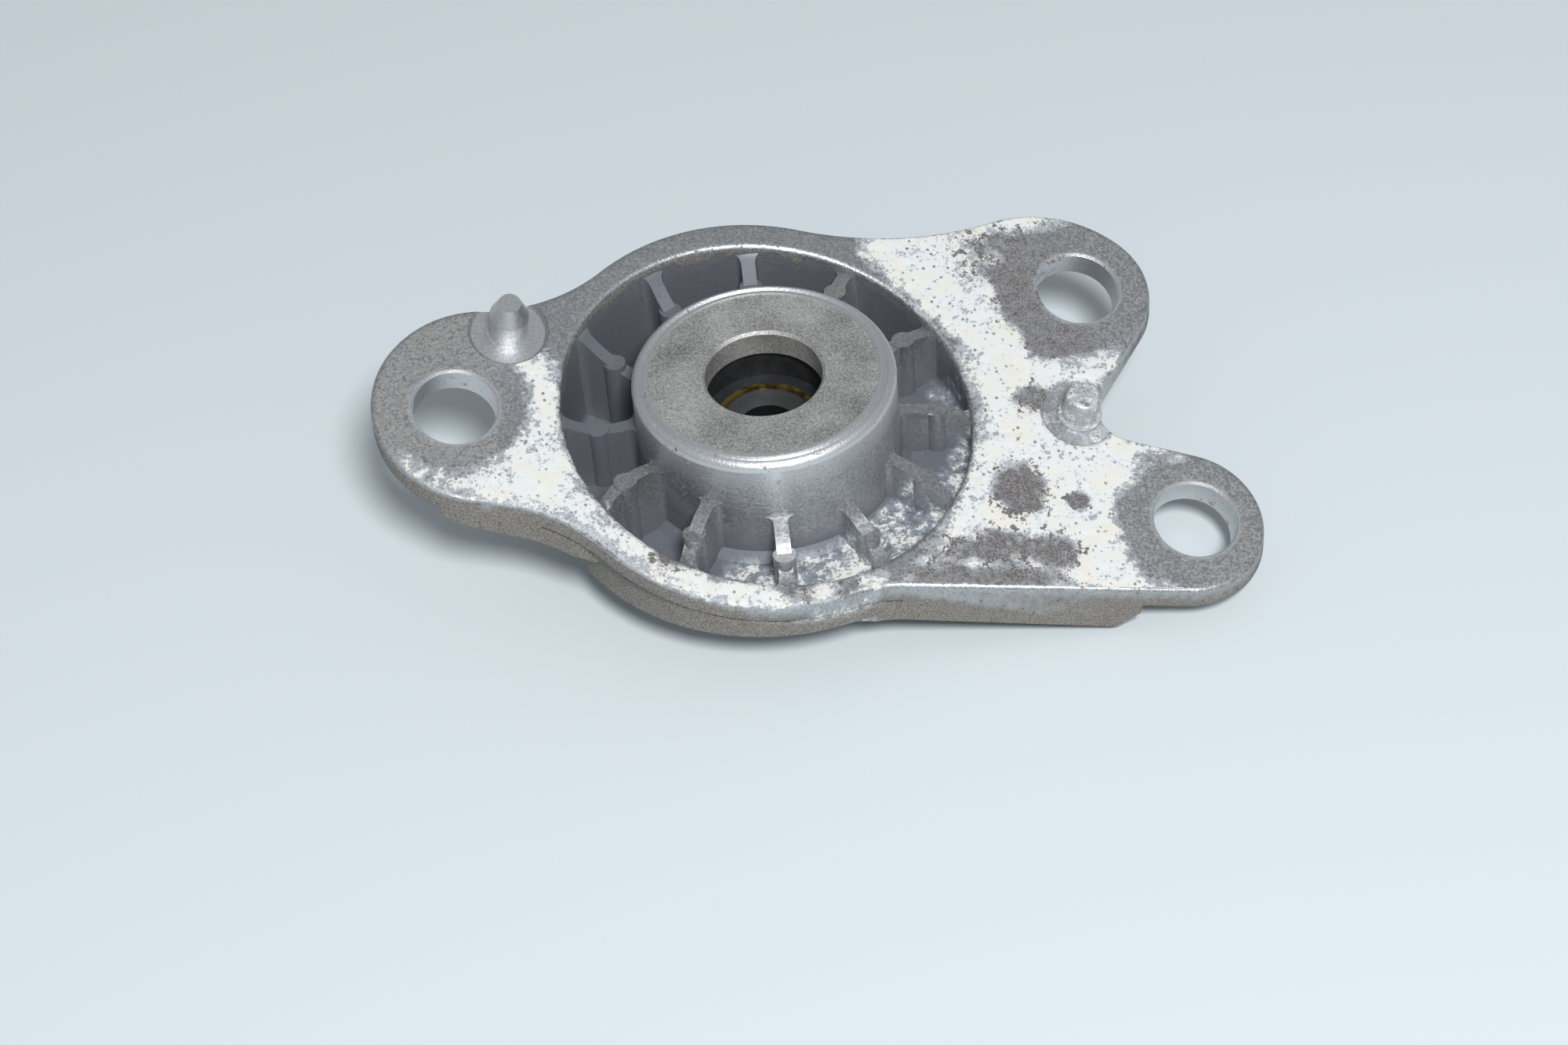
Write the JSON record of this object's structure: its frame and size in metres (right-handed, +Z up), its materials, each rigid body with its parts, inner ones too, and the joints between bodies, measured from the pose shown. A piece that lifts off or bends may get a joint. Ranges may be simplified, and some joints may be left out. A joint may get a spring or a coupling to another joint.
{
  "type": "shock absorber bracket",
  "caption": "Die-cast upper bracket for a shock absorber: tilted eared flange, ribbed round pocket, and a rubber-bushed hub closed by a rolled-in cover disc.",
  "frame": {"origin": "on the damper rod's axis, in the lower face of the foot ring", "axes": "+Z up along the rod's axis; +X towards the two right-hand bolt ears; +Y away from the viewer of the picture"},
  "size_m": [0.1466, 0.0779, 0.0444],
  "materials": {
    "cast_aluminium": "die-cast aluminium, grey and grimy, with white corrosion crust",
    "grained_steel": "blasted grey steel, fine grain",
    "bush_rubber": "moulded black rubber, satin",
    "yellow_passivated_steel": "thin steel with yellow passivation",
    "turned_steel": "dark turned steel"
  },
  "bodies": {
    "root": {"bracket_casting": "cast_aluminium", "cover_disc": "grained_steel", "rubber_bush": "bush_rubber", "inner_sleeve": "yellow_passivated_steel", "steel_core": "turned_steel"}
  },
  "joints": []
}
